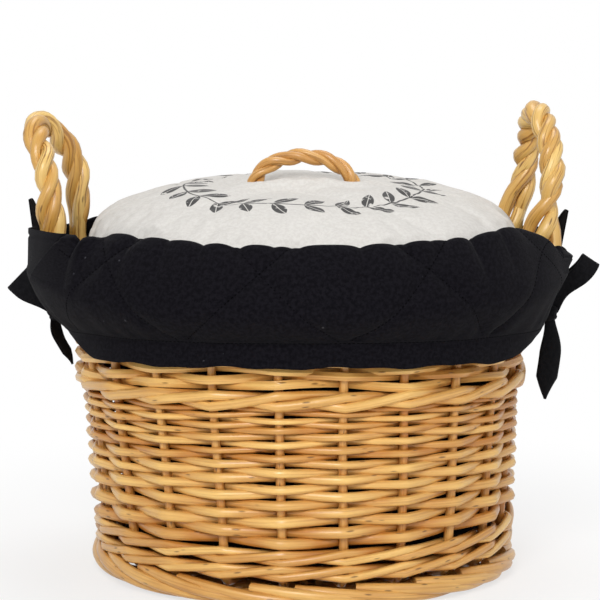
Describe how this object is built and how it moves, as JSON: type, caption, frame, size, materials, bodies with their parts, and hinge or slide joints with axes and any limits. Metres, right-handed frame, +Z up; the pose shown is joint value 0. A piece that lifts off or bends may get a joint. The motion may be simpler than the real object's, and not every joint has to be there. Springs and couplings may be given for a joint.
{
  "type": "potato basket",
  "caption": "Round willow basket with twisted handles, a quilted cloth liner folded over its rim and tied at the sides, and a loose padded lid, for keeping boiled potatoes warm.",
  "frame": {"origin": "on the table under the middle of the basket", "axes": "+Z up, +X towards the right handle, -Y towards the front"},
  "size_m": [0.3204, 0.3042, 0.2556],
  "materials": {
    "willow": "peeled willow, satin",
    "handle_willow": "peeled willow, satin",
    "black_cotton": "quilted cotton",
    "black_ribbon": "woven ribbon",
    "cream_cotton": "printed quilted cotton",
    "wadding": "fibre wadding"
  },
  "bodies": {
    "basket": {"woven_base": "willow", "base_cross": "willow", "foot_border": "willow", "stake_01": "willow", "stake_02": "willow", "stake_03": "willow", "stake_04": "willow", "stake_05": "willow", "stake_06": "willow", "stake_07": "willow", "stake_08": "willow", "stake_09": "willow", "stake_10": "willow", "stake_11": "willow", "stake_12": "willow", "stake_13": "willow", "stake_14": "willow", "stake_15": "willow", "stake_16": "willow", "stake_17": "willow", "stake_18": "willow", "stake_19": "willow", "stake_20": "willow", "stake_21": "willow", "lower_wale": "willow", "side_weave": "willow", "upper_wale": "willow", "top_weave": "willow", "rim_border": "willow", "handle_left_rod_1": "handle_willow", "handle_left_rod_2": "handle_willow", "handle_left_rod_3": "handle_willow", "handle_right_rod_1": "handle_willow", "handle_right_rod_2": "handle_willow", "handle_right_rod_3": "handle_willow", "liner_floor": "black_cotton", "liner_wall": "black_cotton", "skirt_front": "black_cotton", "skirt_back": "black_cotton", "hem_front": "black_cotton", "hem_back": "black_cotton", "tie_left_knot": "black_ribbon", "tie_left_loop": "black_ribbon", "tie_left_tail": "black_ribbon", "tie_right_knot": "black_ribbon", "tie_right_loop": "black_ribbon", "tie_right_tail": "black_ribbon", "label_tab": "black_ribbon"},
    "lid": {"lid_cover": "cream_cotton", "lid_wadding": "wadding", "lid_weave": "willow", "lid_elastic": "black_ribbon", "lid_handle_rod_1": "handle_willow", "lid_handle_rod_2": "handle_willow", "lid_handle_rod_3": "handle_willow"}
  },
  "joints": [
    {"name": "lid_lift", "type": "slide", "parent": "basket", "child": "lid", "axis": [0, 0, 1], "range_m": [0, 0.12]}
  ]
}
